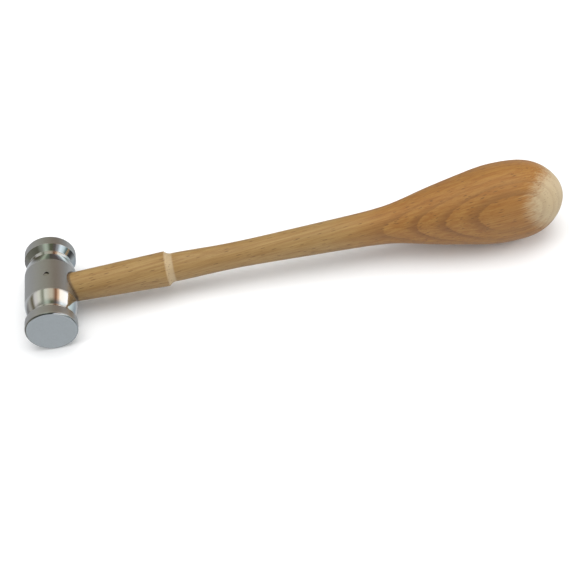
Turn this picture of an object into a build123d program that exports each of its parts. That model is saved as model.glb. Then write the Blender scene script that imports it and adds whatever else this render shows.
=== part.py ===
from build123d import *
import math
import os

# Double-faced bench hammer, lying on its side as it rests on a table.
# A head turned from one steel bar has a flat face at each end. A round blind eye is bored
# into its side, and the round tenon of a turned beech handle fills it. A steel pin driven
# through head and tenon locks the two together.
# The pieces are drawn with the handle along X, the head along Y and the pin along Z, from the
# middle of the head. The pin sits a little nearer to the handle, and crosses the tenon's axis.
# The hammer is then laid down on z = 0.
# Millimetres. -Y and +Y are the faces, +X is the butt of the handle, +Z is up.

# Head, from its middle out to one face
barrel_diameter = 25.0
barrel_length = 19.2
taper_length = 8.2
taper_bulge = 0.35
neck_depth = 2.3
flare_length = 3.0
face_diameter = 25.0
rim_length = 5.4
face_edge_radius = 1.2
rim_corner_radius = 0.25
neck_radius = 0.4

# Eye, tenon and pin
eye_diameter = 14.4
eye_back_wall = 4.5
eye_chamfer = 0.6
tenon_clearance = 0.02
tenon_gap = 0.5
tenon_chamfer = 0.6
pin_diameter = 2.6
pin_offset = 1.1
pin_clearance = 0.01
pin_recess = 0.5
pin_chamfer = 0.15

# Handle: a reach is measured along the handle from the middle of the head
collar_reach = 57.4
collar_diameter = 17.1
collar_radius = 0.6
cove_length = 3.2
cove_diameter = 13.9
slim_reach = 84.0
slim_diameter = 12.8
palm_reach = 122.0
palm_diameter = 14.4
swell_reach = 152.0
swell_diameter = 16.5
bulb_diameter = 39.0
butt_length = 30.9
handle_reach = 251.9

# The bulb swells along this curve: share of the way from swell to bulb, in reach and radius
bulb_rise = ((0.24, 0.13), (0.46, 0.43), (0.76, 0.81))
# The butt rounds off through this point: share of its length, and of the bulb's radius
butt_shoulder = (0.66, 0.81)

# Worked out from the sizes above
barrel_r = barrel_diameter / 2
neck_r = barrel_r - neck_depth
face_r = face_diameter / 2
eye_r = eye_diameter / 2
tenon_r = eye_r - tenon_clearance
pin_r = pin_diameter / 2
shoulder_at = barrel_length / 2
neck_at = shoulder_at + taper_length
rim_at = neck_at + flare_length
face_at = rim_at + rim_length
head_r = max(barrel_r, face_r)
eye_floor = eye_back_wall - barrel_r
tenon_end = eye_floor + tenon_gap
root_reach = barrel_r + eye_chamfer
swell_r = swell_diameter / 2
bulb_r = bulb_diameter / 2
bulb_reach = handle_reach - butt_length


def ring_edges(solid, axis, distance):
    """The round edges that lie at one distance from the middle, on either side of it."""
    return [
        e for e in solid.edges().filter_by(GeomType.CIRCLE)
        if abs(abs(e.arc_center.dot(axis)) - distance) < 0.001
    ]


def turned_head():
    """The head as it leaves the lathe. From its middle out, each half has the barrel, a
    slightly bowed taper, the neck, a flare and a rim."""
    barrel = Polyline((0, face_at), (0, 0), (barrel_r, 0), (barrel_r, shoulder_at))
    taper = SagittaArc((barrel_r, shoulder_at), (neck_r, neck_at), -taper_bulge)
    rim = Polyline((neck_r, neck_at), (face_r, rim_at), (face_r, face_at), (0, face_at))
    half = revolve(make_face([*barrel.edges(), taper, *rim.edges()]), Axis.Y)
    blank = half + mirror(half, Plane.XZ)
    along = Vector(0, 1, 0)
    blank = fillet(ring_edges(blank, along, neck_at), neck_radius)
    blank = fillet(ring_edges(blank, along, rim_at), rim_corner_radius)
    return fillet(ring_edges(blank, along, face_at), face_edge_radius)


def pin_hole():
    """The hole drilled across the head, and with it across the tenon."""
    return Pos(pin_offset, 0, 0) * Cylinder(pin_r + pin_clearance, 2 * barrel_diameter)


def head():
    """The turned head with its blind eye, the eye's chamfered mouth, and the pin hole.
    The seam of the turned surface is put at the back, away from the mouth."""
    bore = Cylinder(eye_r, barrel_diameter, align=(Align.CENTER, Align.CENTER, Align.MIN))
    eye = Pos(eye_floor, 0, 0) * Rot(0, 90, 0) * bore
    bored = Rot(0, 180, 0) * turned_head() - eye
    eye_wall = [
        f for f in bored.faces().filter_by(GeomType.CYLINDER) if abs(f.radius - eye_r) < 0.001
    ]
    straight_or_floor = (GeomType.LINE, GeomType.CIRCLE)
    mouth = [e for f in eye_wall for e in f.edges() if e.geom_type not in straight_or_floor]
    return chamfer(mouth, eye_chamfer) - pin_hole()


def handle_outline():
    """Half of the handle's long section, from the end of its tenon to its butt."""
    collar_r = collar_diameter / 2
    cove_end = (collar_reach + cove_length, cove_diameter / 2)
    front = Polyline(
        (tenon_end, 0),
        (tenon_end, tenon_r - tenon_chamfer),
        (tenon_end + tenon_chamfer, tenon_r),
        (root_reach, tenon_r),
        (collar_reach, collar_r),
    )
    cove = TangentArc(cove_end, (collar_reach, collar_r), tangent=(-1, 0))
    swelling = [
        (
            swell_reach + reach * (bulb_reach - swell_reach),
            swell_r + rise * (bulb_r - swell_r),
        )
        for reach, rise in bulb_rise
    ]
    grip = Spline(
        cove_end,
        (slim_reach, slim_diameter / 2),
        (palm_reach, palm_diameter / 2),
        (swell_reach, swell_r),
        *swelling,
        (bulb_reach, bulb_r),
        tangents=[(1, 0), (1, 0)],
    )
    shoulder, height = butt_shoulder
    butt = Spline(
        (bulb_reach, bulb_r),
        (bulb_reach + shoulder * butt_length, height * bulb_r),
        (handle_reach, 0),
        tangents=[(1, 0), (0, -1)],
    )
    axis = Line((handle_reach, 0), (tenon_end, 0))
    return make_face([*front.edges(), cove, grip, butt, axis])


def handle():
    """The handle, turned about X: a tenon that stops just short of the eye's floor, a
    tapered front that ends in a collar and a cove, a slim grip and a bulb."""
    turned = revolve(handle_outline(), Axis.X)
    collar_edge = ring_edges(turned, Vector(1, 0, 0), collar_reach)
    return fillet(collar_edge, collar_radius) - pin_hole()


def cross_pin():
    """The pin, which stops a little short of the barrel's skin at both ends."""
    body = Cylinder(pin_r, barrel_diameter - 2 * pin_recess)
    pin = chamfer(body.edges().filter_by(GeomType.CIRCLE), pin_chamfer)
    return Pos(pin_offset, 0, 0) * pin


def laid_down(pieces):
    """The pieces tipped until head and bulb both touch z = 0, with the origin on z = 0
    under the middle of the hammer."""
    drop = math.degrees(math.asin((bulb_r - head_r) / bulb_reach))
    tipped = {name: Rot(0, -drop, 0) * piece for name, piece in pieces.items()}
    box = Compound(list(tipped.values())).bounding_box()
    ground = Pos(-box.center().X, 0, -box.min.Z)
    return {name: ground * piece for name, piece in tipped.items()}


os.makedirs("parts", exist_ok=True)
hammer = laid_down({"hammer_head": head(), "handle": handle(), "cross_pin": cross_pin()})
for name, piece in hammer.items():
    export_step(piece, f"parts/{name}.step")
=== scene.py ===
# %% [markdown]
# # A double-faced bench hammer
# The hammer is three pieces: a turned steel head, a turned beech handle whose tenon fills
# the head's blind eye, and a steel pin through both. The CAD model already fixes where each one
# is and how large it is. This script gives them fine, smooth meshes and real finishes.
#
# Everything is drawn the way a turner thinks of it, in millimetres from the middle of the
# head: the handle along X, the head along Y and the pin along Z. One matrix at the end
# lays the finished pieces down on the floor, where the CAD pieces lie.

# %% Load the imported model
import math

import bmesh
import bpy
import numpy as np
from mathutils import Matrix, Vector


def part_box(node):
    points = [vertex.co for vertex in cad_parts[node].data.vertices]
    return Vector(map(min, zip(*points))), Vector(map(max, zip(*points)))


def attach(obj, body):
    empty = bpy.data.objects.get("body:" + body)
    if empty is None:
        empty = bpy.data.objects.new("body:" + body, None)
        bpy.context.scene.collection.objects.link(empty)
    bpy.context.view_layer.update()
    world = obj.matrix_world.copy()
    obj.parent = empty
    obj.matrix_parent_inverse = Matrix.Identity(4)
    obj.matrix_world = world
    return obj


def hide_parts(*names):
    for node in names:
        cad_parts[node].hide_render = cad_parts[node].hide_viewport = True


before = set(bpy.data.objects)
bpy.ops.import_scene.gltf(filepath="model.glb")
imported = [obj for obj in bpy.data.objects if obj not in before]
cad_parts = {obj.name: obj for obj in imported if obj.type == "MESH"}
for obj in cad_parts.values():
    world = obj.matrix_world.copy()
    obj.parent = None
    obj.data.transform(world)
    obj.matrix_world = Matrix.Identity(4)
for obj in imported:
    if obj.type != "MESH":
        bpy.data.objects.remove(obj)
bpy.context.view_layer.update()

MM = 0.001

# %% [markdown]
# ## Where the hammer lies
# The head rests on its barrel and the handle rests on its bulb, which is fatter, so the
# handle climbs a little towards the butt. The boxes of the two CAD pieces say how fat each
# one is, and that gives the climb. `laid_down` is the matrix from the turner's millimetres
# to the floor's metres.

# %% The matrix that lays a piece down
BULB_REACH = 221.0
head_low, head_high = (Vector(corner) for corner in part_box("hammer_head"))
handle_low, handle_high = (Vector(corner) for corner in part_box("handle"))
head_centre = (head_low + head_high) / 2
head_radius = (head_high.x - head_low.x) / 2 / MM
bulb_radius = (handle_high.y - handle_low.y) / 2 / MM
climb = math.asin((bulb_radius - head_radius) / BULB_REACH)
laid_down = (
    Matrix.Translation(head_centre)
    @ Matrix.Rotation(-climb, 4, "Y")
    @ Matrix.Scale(MM, 4)
)
print(f"head radius {head_radius:.2f}, bulb radius {bulb_radius:.2f}")
print(f"climb {math.degrees(climb):.2f} degrees")

# %% [markdown]
# ## Outlines
# A turned piece is known by its outline: how far it is from the axis at each place along
# it. Two tools draw every outline here. `rounded` walks along straight cuts and rounds the
# corners with true arcs, as a tool's nose does. `flowing` draws one smooth curve through a
# few points, as a turner's hand does on a grip.
#
# Both add many points on the way, even on straight stretches. A polished taper shows why:
# its shine depends on its normals, and a normal is only right where the faces are small.

# %% Straight cuts with rounded corners
def rounded(corners, radii, step=0.4, arc_steps=6):
    """Points along a path of straight cuts. radii holds one value for each inner corner."""
    corners = [np.array(corner, float) for corner in corners]
    path = [corners[0]]
    for before, corner, after, radius in zip(corners, corners[1:], corners[2:], radii):
        back = (before - corner) / np.linalg.norm(before - corner)
        ahead = (after - corner) / np.linalg.norm(after - corner)
        half = math.acos(np.clip(back @ ahead, -1, 1)) / 2
        tangent = radius / math.tan(half)
        centre = corner + (back + ahead) / np.linalg.norm(back + ahead) * radius / math.sin(half)
        start, end = corner + back * tangent - centre, corner + ahead * tangent - centre
        turn = math.pi - 2 * half
        path += straight(path[-1], centre + start, step)
        for k in range(1, arc_steps + 1):
            share = k / arc_steps
            weights = math.sin((1 - share) * turn), math.sin(share * turn)
            path.append(centre + (start * weights[0] + end * weights[1]) / math.sin(turn))
    return path + straight(path[-1], corners[-1], step)


def straight(start, end, step):
    """Points on the way from start to end, without start, closer together near both ends."""
    count = max(4, math.ceil(np.linalg.norm(end - start) / step))
    shares = (1 - np.cos(np.linspace(0, math.pi, count + 1)[1:])) / 2
    return [start + (end - start) * share for share in shares]


# %% One smooth curve through a few points
def flowing(points, first, last, step=0.8):
    """Points along a cubic curve through points. first and last are its end directions."""
    points = np.array(points, float)
    gaps = np.linalg.norm(np.diff(points, axis=0), axis=1)
    count = len(points)
    rows, sides = np.eye(count), np.zeros((count, 2))
    sides[0], sides[-1] = first, last
    for i in range(1, count - 1):
        before, after = gaps[i - 1], gaps[i]
        rows[i, i - 1:i + 2] = 1 / before, 2 / before + 2 / after, 1 / after
        rise = (points[i] - points[i - 1]) / before**2 + (points[i + 1] - points[i]) / after**2
        sides[i] = 3 * rise
    slopes = np.linalg.solve(rows, sides)
    path = [points[0]]
    for i, gap in enumerate(gaps):
        for t in np.linspace(0, 1, math.ceil(gap / step) + 1)[1:]:
            path.append(
                points[i] * (1 + 2 * t) * (1 - t) ** 2
                + slopes[i] * gap * t * (1 - t) ** 2
                + points[i + 1] * t**2 * (3 - 2 * t)
                + slopes[i + 1] * gap * t**2 * (t - 1)
            )
    return path


# %% [markdown]
# ## A lathe made of nodes
# Turning is a rule, so Geometry Nodes can do it: sweep the outline round a tiny circle, and
# merge what meets on the axis. Spin in Edit Mode or a Screw modifier would also do, but
# the node tree can be used again for the head, the handle, the pin and the drills, with
# the number of sides and the finish as its inputs.

# %% Build the lathe's node tree
AXLE_RADIUS = 0.001
AXLE_WELD = 4 * AXLE_RADIUS


def lathe_tree():
    tree = bpy.data.node_groups.new("lathe", "GeometryNodeTree")
    face = tree.interface
    face.new_socket("Outline", in_out="INPUT", socket_type="NodeSocketGeometry")
    face.new_socket("Sides", in_out="INPUT", socket_type="NodeSocketInt")
    face.new_socket("Axle Radius", in_out="INPUT", socket_type="NodeSocketFloat")
    face.new_socket("Finish", in_out="INPUT", socket_type="NodeSocketMaterial")
    face.new_socket("Turned", in_out="OUTPUT", socket_type="NodeSocketGeometry")
    wanted = tree.nodes.new("NodeGroupInput").outputs
    axle = tree.nodes.new("GeometryNodeCurvePrimitiveCircle")
    sweep = tree.nodes.new("GeometryNodeCurveToMesh")
    merge = tree.nodes.new("GeometryNodeMergeByDistance")
    real = tree.nodes.new("GeometryNodeRealizeInstances")
    finish = tree.nodes.new("GeometryNodeSetMaterial")
    done = tree.nodes.new("NodeGroupOutput")
    merge.inputs["Distance"].default_value = AXLE_WELD
    for start, end in (
        (wanted["Sides"], axle.inputs["Resolution"]),
        (wanted["Axle Radius"], axle.inputs["Radius"]),
        (axle.outputs["Curve"], sweep.inputs["Curve"]),
        (wanted["Outline"], sweep.inputs["Profile Curve"]),
        (sweep.outputs["Mesh"], merge.inputs["Geometry"]),
        (merge.outputs["Geometry"], real.inputs["Geometry"]),
        (real.outputs["Geometry"], finish.inputs["Geometry"]),
        (wanted["Finish"], finish.inputs["Material"]),
        (finish.outputs["Geometry"], done.inputs["Turned"]),
    ):
        tree.links.new(start, end)
    return tree


LATHE = lathe_tree()
print("lathe nodes:", len(LATHE.nodes))

# %% Turn an outline into a mesh
TO_X = Matrix.Rotation(math.radians(90), 4, "Y")
TO_Y = Matrix.Rotation(math.radians(-90), 4, "X")
TO_Z = Matrix.Identity(4)


def outline_object(name, outline):
    """A flat curve for the lathe, from points of (distance along the axis, radius)."""
    curve = bpy.data.curves.new(name, "CURVE")
    spline = curve.splines.new("POLY")
    spline.points.add(len(outline) - 1)
    for point, (along, radius) in zip(spline.points, reversed(outline)):
        point.co = (max(radius - AXLE_RADIUS, 0), -along, 0, 1)
    drawn = bpy.data.objects.new(name, curve)
    bpy.context.scene.collection.objects.link(drawn)
    return drawn


def turned(name, outline, sides, axis, finish=None):
    """A new object: outline turned about axis, still in the turner's millimetres."""
    drawn = outline_object(name + "_outline", outline)
    lathe = drawn.modifiers.new("lathe", "NODES")
    lathe.node_group = LATHE
    wanted = {"Sides": sides, "Axle Radius": AXLE_RADIUS, "Finish": finish}
    for item in LATHE.interface.items_tree:
        if item.in_out == "INPUT" and item.name in wanted:
            lathe[item.identifier] = wanted[item.name]
    drawn.update_tag()
    looked = bpy.context.evaluated_depsgraph_get()
    mesh = bpy.data.meshes.new_from_object(drawn.evaluated_get(looked))
    drawn.modifiers.clear()
    bpy.data.objects.remove(drawn)
    mesh.name = name
    mesh.transform(axis)
    piece = bpy.data.objects.new(name, mesh)
    bpy.context.scene.collection.objects.link(piece)
    return piece


# %% [markdown]
# ## Drills
# The eye and the pin hole are cut with Boolean modifiers. A cutter is a tube of rings. Where
# it comes out of the round barrel its rings follow the skin, and the last ones flare, which
# leaves an even chamfer round the saddle-shaped mouth. The eye is blind, so its cutter has a
# flat floor at one end. The pin hole goes right through, so its cutter has two mouths.

# %% A drill with flared mouths
BARREL_RADIUS = head_radius
OVERSHOOT = 3


def mouth_rings(radius, flare, angles, aside):
    """The cutter's rings where it comes out of the barrel along +Z, from inside outwards.
    aside is how far the hole's axis is from the head's middle, along X."""
    sine, cosine = np.sin(angles), np.cos(angles)
    skin = np.sqrt(BARREL_RADIUS**2 - (aside + radius * sine) ** 2)
    wider = flare / np.hypot(1, (aside + radius * sine) * sine / skin)
    lip = np.sqrt(BARREL_RADIUS**2 - (aside + (radius + wider) * sine) ** 2)
    outside = np.full_like(skin, BARREL_RADIUS + OVERSHOOT)
    levels = [
        (radius, skin - flare),
        (radius + wider, lip),
        (radius + 2 * wider, 2 * lip - skin + flare),
        (radius + 2 * wider, outside),
    ]
    return [
        np.stack([aside + reach * sine, reach * cosine, height], axis=1)
        for reach, height in levels
    ]


def drill(name, radius, flare, sides, axis, floor=None, aside=0.0):
    """A cutter from a flat floor, or from a second mouth, out through the barrel's skin."""
    angles = np.linspace(0, 2 * math.pi, sides, endpoint=False)
    mouth = mouth_rings(radius, flare, angles, aside)
    if floor is None:
        start = [ring * (1, 1, -1) for ring in reversed(mouth)]
    else:
        start = [mouth[0] * (1, 1, 0) + (0, 0, floor)]
    shape = bmesh.new()
    rings = [[shape.verts.new(spot) for spot in ring] for ring in start + mouth]
    for ring, following in zip(rings, rings[1:]):
        for i in range(sides):
            j = (i + 1) % sides
            shape.faces.new((ring[i], ring[j], following[j], following[i]))
    shape.faces.new(rings[0])
    shape.faces.new(rings[-1])
    bmesh.ops.recalc_face_normals(shape, faces=shape.faces)
    mesh = bpy.data.meshes.new(name)
    shape.to_mesh(mesh)
    shape.free()
    mesh.transform(axis)
    cutter = bpy.data.objects.new(name, mesh)
    bpy.context.scene.collection.objects.link(cutter)
    return cutter


WELD = 0.0005


def cut(piece, cutters):
    """Takes the cutters out of piece and leaves a plain mesh. Where a cutter's corner lands
    on the skin, the cut leaves doubled points, so points this close are welded."""
    for cutter in cutters:
        step = piece.modifiers.new(cutter.name, "BOOLEAN")
        step.operation = "DIFFERENCE"
        step.solver = "EXACT"
        step.object = cutter
    looked = bpy.context.evaluated_depsgraph_get()
    mesh = bpy.data.meshes.new_from_object(piece.evaluated_get(looked))
    piece.modifiers.clear()
    shape = bmesh.new()
    shape.from_mesh(mesh)
    bmesh.ops.remove_doubles(shape, verts=shape.verts, dist=WELD)
    shape.to_mesh(mesh)
    shape.free()
    piece.data = mesh
    for cutter in cutters:
        bpy.data.objects.remove(cutter)


# %% Finish a piece: smooth it, lay it down, hand it to the frame
SHARP_ANGLE = math.radians(32)


def hand_over(piece, node):
    """piece stands for the CAD node, rides with the hammer and keeps the finish it was turned with.
    """
    mesh = piece.data
    mesh.polygons.foreach_set("use_smooth", np.ones(len(mesh.polygons), bool))
    mesh.set_sharp_from_angle(angle=SHARP_ANGLE)
    mesh.transform(laid_down)
    mesh.name = piece.name
    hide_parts(node)
    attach(piece, "root")
    check = bmesh.new()
    check.from_mesh(mesh)
    volume = check.calc_volume(signed=True) / MM**3
    open_edges = sum(not edge.is_manifold for edge in check.edges)
    triangles = sum(len(face.verts) - 2 for face in check.faces)
    check.free()
    print(f"{piece.name}: {triangles} triangles, {volume:.0f} mm3, {open_edges} open edges")


# %% [markdown]
# ## Writing a finish as sums
# A finish is a network of shader nodes. Wiring them by hand takes many lines, so three small
# classes do it. A `Wire` is the output of a node, and adding or multiplying wires adds the
# Math nodes. A `Network` is a tree of nodes, and its `node` method makes any other node. A
# `Finish` is the network of one material.

# %% Wires and finishes
class Wire:
    """The output of one node."""

    def __init__(self, finish, socket):
        self.finish = finish
        self.socket = socket

    def math(self, operation, *values):
        sockets = dict(enumerate(values))
        return self.finish.node("ShaderNodeMath", {"operation": operation}, sockets)

    def __add__(self, other):
        return self.math("ADD", self, other)

    __radd__ = __add__

    def __sub__(self, other):
        return self.math("SUBTRACT", self, other)

    def __rsub__(self, other):
        return self.math("SUBTRACT", other, self)

    def __mul__(self, other):
        return self.math("MULTIPLY", self, other)

    __rmul__ = __mul__

    def __truediv__(self, other):
        return self.math("DIVIDE", self, other)

    def __pow__(self, other):
        return self.math("POWER", self, other)

    def __abs__(self):
        return self.math("ABSOLUTE", self)

    def between(self, low, high):
        """0 below low, 1 above high, and a smooth step from one to the other."""
        return self.finish.node(
            "ShaderNodeMapRange",
            {"interpolation_type": "SMOOTHSTEP"},
            {"Value": self, "From Min": low, "From Max": high},
        )


class Network:
    """A tree of shader nodes, and the nodes that this hammer's finishes are made of."""

    def __init__(self, tree):
        self.tree = tree

    def node(self, kind, settings=None, sockets=None, output=0):
        made = self.tree.nodes.new(kind)
        for key, value in (settings or {}).items():
            setattr(made, key, value)
        for key, value in (sockets or {}).items():
            self.feed(made.inputs[key], value)
        return Wire(self, made.outputs[output])

    def feed(self, socket, value):
        if isinstance(value, Wire):
            self.tree.links.new(value.socket, socket)
        else:
            socket.default_value = value

    def split(self, vector):
        parts = self.node("ShaderNodeSeparateXYZ", sockets={0: vector}).socket.node.outputs
        return [Wire(self, part) for part in parts]

    def join(self, x, y, z):
        return self.node("ShaderNodeCombineXYZ", sockets={0: x, 1: y, 2: z})

    def stretch(self, vector, factors):
        return self.node("ShaderNodeVectorMath", {"operation": "MULTIPLY"}, {0: vector, 1: factors})

    def noise(self, vector, detail=2.0, roughness=0.5):
        sockets = {"Vector": vector, "Scale": 1.0, "Detail": detail, "Roughness": roughness}
        return self.node("ShaderNodeTexNoise", sockets=sockets)

    def blend(self, mask, below, above):
        """The colour below where mask is 0, and above where it is 1."""
        mix = {"data_type": "RGBA"}
        return self.node("ShaderNodeMix", mix, {0: mask, 6: below, 7: above}, output=2)

    def bump(self, height, distance):
        sockets = {"Height": height, "Strength": 1.0, "Distance": distance * MM}
        return self.node("ShaderNodeBump", sockets=sockets)


class Finish(Network):
    """A material, with its one Principled shader."""

    def __init__(self, name):
        self.material = bpy.data.materials.new(name)
        self.material.use_nodes = True
        super().__init__(self.material.node_tree)
        self.shader = self.tree.nodes["Principled BSDF"]

    def shine(self, **sockets):
        """Feeds the shader. Base_Color means the socket called Base Color."""
        for key, value in sockets.items():
            self.feed(self.shader.inputs[key.replace("_", " ")], value)

    def place(self):
        """The point in the turner's millimetres, as a vector: X handle, Y head, Z pin."""
        here = self.node("ShaderNodeTexCoord", output="Object")
        lying = {"Location": head_centre, "Rotation": (0, -climb, 0), "Scale": (MM,) * 3}
        return self.node("ShaderNodeMapping", {"vector_type": "TEXTURE"}, {"Vector": here, **lying})


# %% [markdown]
# ## Steel
# The head is one bar of steel with two finishes. The barrel, the rims and the faces are
# satin: a tool or an abrasive has run round them and left hundreds of fine lines. The tapers
# and flares by the necks are polished, so they mirror the room, and so is the rounding that
# leads into each face.
#
# Lines that run round the axis are noise that changes quickly along the outline and slowly
# across it. The distance along the head plus the distance from its axis changes along every
# part of the outline, on the barrel as well as on the faces, so the noise reads that sum.

# %% The head's outline, and its steel
SHOULDER_AT = 9.6
NECK_AT = 17.8
NECK_RADIUS = 10.2
TAPER_BULGE = 0.35
RIM_AT = 20.8
FACE_AT = 26.2
FACE_RADIUS = 12.5
EDGE_RADIUS = 1.2
PIN_RADIUS = 1.3
PIN_OFFSET = 1.1
SATIN = (0.52, 0.515, 0.505, 1)
FACE_SATIN = (0.57, 0.58, 0.58, 1)
MOTTLE = (0.40, 0.39, 0.38, 1)
POLISHED = (0.66, 0.66, 0.65, 1)
SAWN = (0.52, 0.50, 0.45, 1)
SAWN_DULL = (0.38, 0.36, 0.31, 1)
# painted shade: the dark colour of the far crescent of the pin's hole
PAINTED_HOLE_SHADE = (0.06, 0.05, 0.035, 1)


def head_steel():
    steel = Finish("satin_and_polished_steel")
    place = steel.place()
    x, y, z = steel.split(place)
    along = abs(y)
    outward = (x * x + z * z) ** 0.5
    lathe_lines = steel.join((along + outward) * 7.0, x * 0.10, z * 0.10)
    fine = steel.noise(lathe_lines, detail=5.0, roughness=0.7)
    drift = steel.noise(steel.stretch(place, (0.16,) * 3), detail=3.0)
    scuff = steel.noise(steel.stretch(place, (0.9,) * 3), detail=4.0, roughness=0.6)

    past_shoulder = along.between(SHOULDER_AT, SHOULDER_AT + 0.3)
    past_rim = along.between(RIM_AT - 0.1, RIM_AT + 0.2)
    taper = past_shoulder * (1 - past_rim)
    face = along.between(FACE_AT - 0.7, FACE_AT - 0.5)
    rounding = face * outward.between(FACE_RADIUS - 1.1, FACE_RADIUS - 0.9)
    polished = taper + rounding
    lands = steel.blend(face, SATIN, FACE_SATIN)
    mottled = steel.blend(scuff.between(0.35, 0.75) * 0.15, lands, MOTTLE)
    colour = steel.blend(taper, mottled, POLISHED)
    satin_rough = 0.36 + drift * 0.10 + (fine - 0.5) * 0.10
    polished_rough = 0.07 + scuff * 0.05
    rough = satin_rough * (1 - polished) + polished_rough * polished
    relief = fine * (1 - polished * 0.93) + scuff * 0.12
    steel.shine(
        Base_Color=colour,
        Metallic=1.0,
        Roughness=rough,
        Normal=steel.bump(relief, 0.012),
    )
    return steel.material


def pin_steel():
    """Dull, with painted shade in the crescent of its hole that is farther from the face."""
    steel = Finish("sawn_steel")
    place = steel.place()
    x, y, _ = steel.split(place)
    saw = steel.noise(steel.stretch(place, (6.0, 1.2, 1.0)), detail=3.0)
    spots = steel.noise(steel.stretch(place, (2.5,) * 3), detail=4.0)
    sawn = steel.blend(spots.between(0.4, 0.7), SAWN, SAWN_DULL)
    # painted shade: the pin's end darkens towards the far side of its hole, where the hole's wall
    # shades it
    hole_shade = (y + (x - PIN_OFFSET) * 0.5 + spots * 0.5).between(0.5, 1.1)
    steel.shine(
        Base_Color=steel.blend(hole_shade, sawn, PAINTED_HOLE_SHADE),
        Metallic=1.0,
        Roughness=0.34 + saw * 0.22,
        Normal=steel.bump(saw, 0.03),
    )
    return steel.material


# %% [markdown]
# ## Beech
# Wood is a solid pattern that the lathe has cut through, so its grain is drawn in space
# and the surface only shows a slice of it. The year rings are thin sheets that run nearly
# along the handle. Where the bulb swells past a sheet, the cut shows a long arch: that is
# all a cathedral grain is, and it comes out by itself.
#
# Beech also has rays, thin ribbons that point out from the tree's middle. Seen flat on,
# they are the short dark dashes that make beech easy to know. `grain` holds the place in
# the tree's own directions: along the trunk, outwards through the rings, and round them.
# The handle was sawn a few degrees off the trunk, so `TREE_AXES` turns them a little.
#
# The wood is redder in the bulb. The butt is end grain, and its pale colour is partly that end
# grain and partly a painted sheen, which also reaches along one side of the bulb's end. The cove
# carries a painted highlight, and where the shaft goes into the steel the wood is darker.

# %% The handle's wood
TREE_AXES = [math.radians(angle) for angle in (155, -4, 3)]
RING_WIDTH = 3.2
FIRST_RING = 2.5
PALE_SIDE = math.radians(65)
SHAFT_DARK, SHAFT_LIGHT = (0.264, 0.146, 0.044, 1), (0.352, 0.224, 0.080, 1)
BULB_DARK, BULB_LIGHT = (0.268, 0.108, 0.020, 1), (0.350, 0.174, 0.040, 1)
# painted light: the butt's pale colour is partly end grain and partly a painted sheen, and the
# cove's pale colour is a painted highlight
PALE_END_AND_SHEEN, COVE_HIGHLIGHT = (0.455, 0.365, 0.225, 1), (0.500, 0.385, 0.230, 1)
RING_BROWN, HAIR_BROWN = (0.140, 0.054, 0.016, 1), (0.130, 0.060, 0.022, 1)
DASH_BROWN, PORE_BROWN = (0.100, 0.042, 0.015, 1), (0.11, 0.048, 0.018, 1)
# the colour the wood darkens to right by the steel
NEAR_STEEL_DARK = (0.07, 0.045, 0.028, 1)


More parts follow.
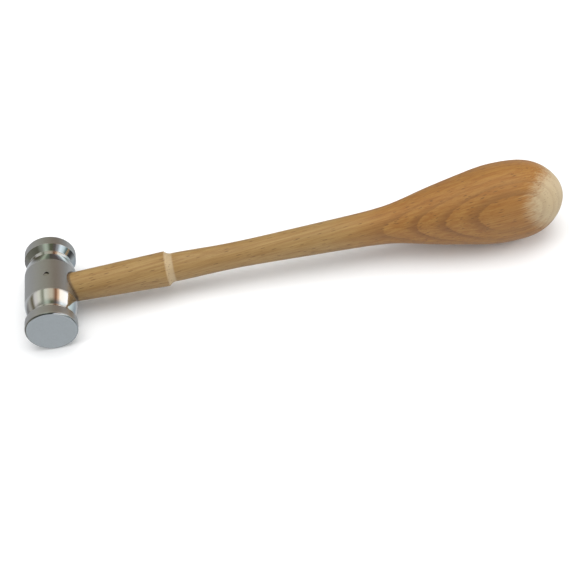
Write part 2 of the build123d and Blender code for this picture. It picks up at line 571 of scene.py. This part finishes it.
def beech():
    wood = Finish("oiled_beech")
    place = wood.place()
    x, y, z = wood.split(place)
    sawn = {"Vector": place, "Rotation": TREE_AXES}
    grain = wood.node("ShaderNodeMapping", {"vector_type": "TEXTURE"}, sawn)
    outwards = wood.split(grain)[1]

    drift = wood.noise(wood.stretch(grain, (0.012, 0.05, 0.07)), detail=2.0)
    jag = wood.noise(wood.stretch(grain, (0.25, 1.0, 1.4)), detail=3.0)
    patch = wood.noise(wood.stretch(grain, (0.02, 0.11, 0.14)), detail=2.0)
    fibres = wood.noise(wood.stretch(grain, (0.03, 0.9, 1.3)), detail=4.0, roughness=0.6)
    hair = wood.noise(wood.stretch(grain, (0.12, 5.0, 8.0)), detail=3.0)

    age = (outwards - FIRST_RING + (drift - 0.5) * 1.8 + (jag - 0.5) * 0.6) / RING_WIDTH
    season = age.math("FRACT", age)
    late = season.between(0.40, 0.95) * (1 - season.between(0.95, 1.0))
    bulbous = x.between(130, 175)
    lower_front = z * math.cos(PALE_SIDE) - y * math.sin(PALE_SIDE)
    facing = lower_front.math("MAXIMUM", lower_front, 0.0) ** 2 / (y * y + z * z + 1.0)
    flat_cut = facing.between(0.25, 0.85) * 0.75 + 0.25
    ringed = late * patch.between(0.20, 0.5) * flat_cut * (bulbous * 0.36 + 0.14)

    dashes = {"Vector": wood.stretch(grain, (0.17, 1.1, 1.5)), "Scale": 1.0}
    dash = wood.node("ShaderNodeTexVoronoi", sockets=dashes)
    lot = Wire(wood, dash.socket.node.outputs["Color"])
    ray = (1 - dash.between(0.14, 0.30)) * wood.split(lot)[0].between(0.30, 0.60)
    pores = {"Vector": wood.stretch(grain, (0.55, 2.0, 4.0)), "Scale": 1.0}
    pore = 1 - wood.node("ShaderNodeTexVoronoi", sockets=pores).between(0.10, 0.32)

    dark = wood.blend(bulbous, SHAFT_DARK, BULB_DARK)
    light = wood.blend(bulbous, SHAFT_LIGHT, BULB_LIGHT)
    streaked = wood.blend(fibres.between(0.30, 0.72), dark, light)
    # painted sheen: besides the butt's end grain, the wood is painted paler towards one side of the
    # bulb's end
    streaky = x + (fibres - 0.5) * 14 + (jag - 0.5) * 6
    butt = streaky.between(241, 248)
    pale = streaky.math("MAXIMUM", butt, (streaky + facing * 16).between(242, 254))
    paled_end_and_sheen = wood.blend(pale * (0.70 + hair * 0.3), streaked, PALE_END_AND_SHEEN)
    # painted highlight: the cove faces the butt and is painted paler, as if light falls on it
    cove = x.between(56.9, 58.0) * (1 - x.between(60.4, 61.6))
    cove_highlighted = wood.blend(cove * (0.45 + hair * 0.5), paled_end_and_sheen, COVE_HIGHLIGHT)
    banded = wood.blend(ringed * (1 - pale * 0.7), cove_highlighted, RING_BROWN)
    lined = wood.blend(hair.between(0.50, 0.75) * 0.15, banded, HAIR_BROWN)
    dashed = wood.blend(ray * (0.75 - pale * 0.3), lined, DASH_BROWN)
    speckled = wood.blend(pore * 0.22, dashed, PORE_BROWN)
    # the wood is made darker within about a millimetre of the barrel's skin, where it goes into the
    # steel
    from_skin = (x * x + z * z) ** 0.5 - BARREL_RADIUS
    near_steel = 1 - from_skin.between(0.3, 1.3)
    colour = wood.blend(near_steel * 0.7, speckled, NEAR_STEEL_DARK)

    relief = fibres * 0.5 + hair * 0.35 - ray * 0.5 - pore * 0.4 - ringed * 0.3
    wood.shine(
        Base_Color=colour,
        Roughness=0.44 + fibres * 0.12 + pore * 0.1,
        Coat_Weight=0.12,
        Coat_Roughness=0.35,
        Normal=wood.bump(relief, 0.035),
    )
    return wood.material


# %% Make the three finishes
HEAD_STEEL, PIN_STEEL, BEECH = head_steel(), pin_steel(), beech()
for made in (HEAD_STEEL, PIN_STEEL, BEECH):
    print(made.name, len(made.node_tree.nodes), "nodes")

# %% [markdown]
# ## The head
# From its middle outwards, each half is a barrel, a slightly bowed taper to the neck, a steep
# flare, a rim and a flat face with a rounded edge. One half is drawn, and the other half is
# the same points with their distance along the axis turned round.

# %% An arc from one point to another
def bowed(start, end, bulge, steps):
    """Points on an arc that stands out from its chord by bulge, without start."""
    start, end = np.array(start, float), np.array(end, float)
    chord = np.linalg.norm(end - start)
    radius = (chord**2 / 4 + bulge**2) / (2 * bulge)
    along = (end - start) / chord
    outwards = np.array([-along[1], along[0]])
    centre = (start + end) / 2 + outwards * (bulge - radius)
    sweep = math.asin(chord / 2 / radius)
    turns = np.linspace(-sweep, sweep, steps + 1)[1:]
    return [centre + radius * (math.sin(t) * along + math.cos(t) * outwards) for t in turns]


# %% Turn the head
def both_ways(half):
    """An outline from points on one side of the middle, and the same points turned round."""
    half = [tuple(point) for point in half]
    return [(-along, radius) for along, radius in reversed(half)] + half[1:]


NECK_FILLET = 0.4
RIM_FILLET = 0.25
shoulder = np.array([SHOULDER_AT, BARREL_RADIUS])
barrel = straight(np.array([0, BARREL_RADIUS]), shoulder, 0.6)
taper = bowed(shoulder, (NECK_AT, NECK_RADIUS), TAPER_BULGE, 20)
rim = rounded(
    [taper[-2], taper[-1], (RIM_AT, FACE_RADIUS), (FACE_AT, FACE_RADIUS), (FACE_AT, 0)],
    [NECK_FILLET, RIM_FILLET, EDGE_RADIUS],
)
head_outline = both_ways([(0, BARREL_RADIUS)] + barrel + taper[:-1] + rim[1:])
head = turned("turned_head", head_outline, 224, TO_Y, HEAD_STEEL)
print("head outline:", len(head_outline), "points")

# %% Bore its eye and drill its pin hole
EYE_RADIUS = 7.2
EYE_FLOOR = 4.5 - BARREL_RADIUS
EYE_CHAMFER = 0.6
PIN_SIDES = 72
PIN_HOLE = {
    "radius": PIN_RADIUS + 0.01,
    "flare": 0.08,
    "sides": PIN_SIDES,
    "axis": TO_Z,
    "aside": PIN_OFFSET,
}
cut(head, [
    drill("eye_drill", EYE_RADIUS, EYE_CHAMFER, 160, TO_X, EYE_FLOOR),
    drill("pin_drill", **PIN_HOLE),
])
hand_over(head, "hammer_head")

# %% [markdown]
# ## The handle
# The tenon fills the eye to just short of its floor, and the wood goes on at the same width
# outside the head. It widens slowly to a collar, drops through a short hollow cove to the
# slim grip, and swells into the bulb.

# %% Draw the handle's outline
TENON_RADIUS = EYE_RADIUS - 0.02
TENON_END = EYE_FLOOR + 0.5
TENON_CHAMFER = 0.6
ROOT_REACH = BARREL_RADIUS + EYE_CHAMFER
TENON_FILLET, ROOT_FILLET, COLLAR_FILLET = 0.1, 3.0, 0.6
COLLAR = (57.4, 8.55)
COVE_END = (60.6, 6.95)
HANDLE_REACH = 251.9
GRIP = [
    COVE_END,
    (84.0, 6.4),
    (122.0, 7.2),
    (152.0, 8.25),
    (168.6, 9.71),
    (183.7, 13.09),
    (204.4, 17.36),
    (BULB_REACH, bulb_radius),
]
BUTT = [(BULB_REACH, bulb_radius), (241.4, 15.8), (HANDLE_REACH, 0)]


def cove_arc(start, end, steps=10):
    """Points from start down to end on the arc that ends level, without start."""
    run, drop = end[0] - start[0], start[1] - end[1]
    radius = (run**2 + drop**2) / (2 * drop)
    sweep = math.asin(run / radius)
    turns = np.linspace(sweep, 0, steps + 1)[1:]
    return [(end[0] - radius * math.sin(t), end[1] + radius * (1 - math.cos(t))) for t in turns]


cove = cove_arc(COLLAR, COVE_END)
front = rounded(
    [
        (TENON_END, 0),
        (TENON_END, TENON_RADIUS - TENON_CHAMFER),
        (TENON_END + TENON_CHAMFER, TENON_RADIUS),
        (ROOT_REACH, TENON_RADIUS),
        COLLAR,
        cove[1],
    ],
    [TENON_FILLET, TENON_FILLET, ROOT_FILLET, COLLAR_FILLET],
    step=0.8,
)
grip = flowing(GRIP, (1, 0), (1, 0))
butt = flowing(BUTT, (1, 0), (0, -1), 0.5)
handle_outline = [tuple(point) for point in front + cove[2:-1] + grip + butt[1:]]
print("handle outline:", len(handle_outline), "points")

# %% Turn the handle and drill it
handle = turned("turned_handle", handle_outline, 176, TO_X, BEECH)
cut(handle, [drill("tenon_drill", **PIN_HOLE)])
hand_over(handle, "handle")

# %% [markdown]
# ## The pin
# A short length of steel rod, a little under flush at both ends, with broken edges.

# %% Turn the pin
PIN_HALF = BARREL_RADIUS - 0.5
PIN_CHAMFER = 0.15
PIN_FILLET = 0.05
pin_half = rounded(
    [
        (0, PIN_RADIUS),
        (PIN_HALF - PIN_CHAMFER, PIN_RADIUS),
        (PIN_HALF, PIN_RADIUS - PIN_CHAMFER),
        (PIN_HALF, 0),
    ],
    [PIN_FILLET, PIN_FILLET],
)
beside_middle = Matrix.Translation((PIN_OFFSET, 0, 0))
pin = turned("driven_pin", both_ways(pin_half), PIN_SIDES, beside_middle, PIN_STEEL)
hand_over(pin, "cross_pin")

# %% [markdown]
# ## The studio
# A pale floor, and soft lights overhead and at the sides. They light the wood and the floor,
# but a mirror shows a light as a hard bright square, so the steel doesn't see them. It sees
# a room instead, which is the next step.

# %% Floor
FLOOR_SIZE = 6.0
PALE = (0.90, 0.90, 0.90, 1)
floor_paint = Finish("pale_floor")
floor_paint.shine(Base_Color=PALE, Roughness=0.75)
bpy.ops.mesh.primitive_plane_add(size=FLOOR_SIZE, location=(0, 0, 0))
floor = bpy.context.object
floor.name = "floor"
floor.data.materials.append(floor_paint.material)
floor.visible_glossy = False


# %% Lights
def panel(name, place, size, watts, colour=(1, 1, 1)):
    """A soft light that faces the hammer."""
    light = bpy.data.lights.new(name, "AREA")
    light.shape = "RECTANGLE"
    light.size, light.size_y = size
    light.energy = watts
    light.color = colour
    lamp = bpy.data.objects.new(name, light)
    lamp.location = place
    lamp.rotation_euler = (-Vector(place)).to_track_quat("-Z", "Y").to_euler()
    lamp.visible_glossy = False
    bpy.context.scene.collection.objects.link(lamp)


panel("overhead_panel", (0.1, 0.15, 1.5), (1.6, 1.6), 17)
panel("right_panel", (1.3, -0.2, 0.55), (0.8, 0.7), 9)
panel("left_panel", (-1.3, -0.3, 0.6), (0.5, 0.8), 6)

# %% [markdown]
# ## The room that the steel mirrors
# Bare steel has almost no colour of its own: what makes it look like steel is what it
# mirrors. Here that is a workshop with a bright window to the right, a warm door post beside
# it, a cream wall to the left and dark corners. A studio would build it from cards.
#
# The head is turned about Y, so what it mirrors depends mostly on the angle round Y: the
# left is at -90 degrees, the ceiling at 0, the right at 90, and the floor at -180 and 180.
# One colour ramp for each part of the room, from its front wall to its back wall, gives the
# bands. The tapers see the middle, the barrel and the rims see the upper back, and each neck
# sees its own end of the room. The near face sees the ground in front, and the rounding
# round it sees the upper front.

# %% Bands of light round the room
ROOM_BRIGHTNESS = 1.6
MIDDLE = [
    (-140, (0.30, 0.30, 0.31)), (-114, (0.24, 0.24, 0.24)), (-90, (0.46, 0.45, 0.42)),
    (-72, (0.18, 0.16, 0.11)), (-54, (0.82, 0.80, 0.78)), (-38, (0.88, 0.88, 0.78)),
    (-21, (0.33, 0.35, 0.27)), (-10, (0.82, 0.83, 0.72)), (14, (0.74, 0.66, 0.52)),
    (33, (0.30, 0.14, 0.075)), (42, (0.95, 0.62, 0.42)), (52, (1.55, 1.45, 1.30)),
    (84, (1.55, 1.55, 1.55)), (103, (0.76, 0.90, 0.92)), (140, (0.38, 0.44, 0.49)),
]
FRONT = [
    (-150, (0.48, 0.52, 0.54)), (-120, (0.25, 0.25, 0.22)), (-90, (0.19, 0.19, 0.16)),
    (-45, (0.13, 0.13, 0.10)), (-28, (0.26, 0.27, 0.23)), (-6, (0.52, 0.60, 0.50)),
    (16, (0.12, 0.13, 0.08)), (33, (0.13, 0.11, 0.10)), (44, (0.34, 0.34, 0.36)),
    (60, (1.00, 1.15, 1.25)), (70, (0.80, 0.96, 1.02)), (84, (0.15, 0.22, 0.22)),
    (106, (0.06, 0.06, 0.06)), (140, (0.50, 0.54, 0.57)),
]
BACK = [
    (-150, (0.28, 0.28, 0.27)), (-90, (0.10, 0.09, 0.065)), (-58, (0.15, 0.15, 0.11)),
    (-28, (0.42, 0.48, 0.37)), (-5, (0.17, 0.20, 0.15)), (16, (0.10, 0.09, 0.075)),
    (52, (0.12, 0.10, 0.10)), (74, (0.28, 0.28, 0.30)), (100, (1.05, 1.20, 1.25)),
    (125, (0.22, 0.28, 0.27)), (160, (0.24, 0.25, 0.26)),
]
UPPER_BACK = [
    (-150, (0.60, 0.63, 0.66)), (-90, (0.56, 0.58, 0.60)), (-45, (0.48, 0.48, 0.44)),
    (0, (0.38, 0.35, 0.29)), (34, (0.26, 0.23, 0.18)), (56, (0.10, 0.08, 0.06)),
    (88, (0.06, 0.06, 0.06)), (104, (0.58, 0.60, 0.62)), (150, (0.52, 0.54, 0.56)),
]
UPPER_FRONT = [
    (-100, (0.22, 0.22, 0.20)), (-60, (0.06, 0.06, 0.06)), (18, (0.05, 0.05, 0.05)),
    (32, (0.90, 0.92, 1.00)), (62, (1.30, 1.30, 1.25)), (78, (0.30, 0.30, 0.28)),
]
GROUND = (0.62, 0.67, 0.71)


def dimmed(colour):
    """A colour of the room for the world's shader, which brightens it again."""
    return [channel / ROOM_BRIGHTNESS for channel in colour] + [1]


def bands(room, turn, stops):
    """A ramp with a colour at each angle. turn is the angle round Y, in whole turns."""
    made = room.node("ShaderNodeValToRGB", sockets={"Fac": turn})
    ramp = made.socket.node.color_ramp
    ramp.interpolation = "EASE"
    while len(ramp.elements) < len(stops):
        ramp.elements.new(0.5)
    for element, (angle, colour) in zip(ramp.elements, stops):
        element.position = angle / 360 + 0.5
        element.color = dimmed(colour)
    return made


# %% The world: the room for mirrors, and an even pale surround for everything else
SURROUND = (0.64, 0.65, 0.66, 1)
world = bpy.data.worlds.new("surround")
world.use_nodes = True
room = Network(world.node_tree)
x, y, z = room.split(room.node("ShaderNodeTexCoord", output="Generated"))
turn = x.math("ARCTAN2", x, z) / (2 * math.pi) + 0.5
seen = bands(room, turn, FRONT)
for start, end, stops in ((-0.05, 0.18, MIDDLE), (0.46, 0.60, UPPER_BACK), (0.80, 0.90, BACK)):
    seen = room.blend(y.between(start, end), seen, bands(room, turn, stops))
forwards, down = -1 * y, -1 * z
seen = room.blend(forwards.between(0.52, 0.60), seen, bands(room, turn, UPPER_FRONT))
ground = forwards.between(0.40, 0.52) * down.between(0.0, 0.15)
seen = room.blend(ground, seen, dimmed(GROUND))
mirrored = room.node("ShaderNodeBackground", sockets={"Color": seen, "Strength": ROOM_BRIGHTNESS})
even = room.node("ShaderNodeBackground", sockets={"Color": SURROUND, "Strength": 0.95})
is_mirror = room.node("ShaderNodeLightPath", output="Is Glossy Ray")
light = room.node("ShaderNodeMixShader", sockets={0: is_mirror, 1: even, 2: mirrored})
room.feed(room.tree.nodes["World Output"].inputs["Surface"], light)
bpy.context.scene.world = world
bpy.context.scene.view_settings.view_transform = "Standard"
print("room nodes:", len(room.tree.nodes))

# %% [markdown]
# ## The camera
# It looks down on the hammer from the side of one face, from well back, with a long lens
# and a small roll that sets the handle rising across the frame. It is placed in the
# turner's millimetres too, so it is laid down with the hammer.

# %% Camera
CAMERA_SPOT = Vector((116.8, -447.9, 444.5))
CAMERA_AIM = Vector((111.7, 0.0, -27.5))
CAMERA_ROLL = math.radians(-11.7)
SENSOR = 36.0
lens = bpy.data.cameras.new("camera")
lens.sensor_width = SENSOR
lens.lens = 82.35
lens.clip_start = 0.01
camera = bpy.data.objects.new("camera", lens)
bpy.context.scene.collection.objects.link(camera)
look = (CAMERA_AIM - CAMERA_SPOT).to_track_quat("-Z", "Y").to_matrix()
look = look @ Matrix.Rotation(CAMERA_ROLL, 3, "Z")
unscaled = laid_down @ Matrix.Scale(1 / MM, 4)
camera.matrix_world = unscaled @ Matrix.Translation(CAMERA_SPOT * MM) @ look.to_4x4()
bpy.context.scene.camera = camera
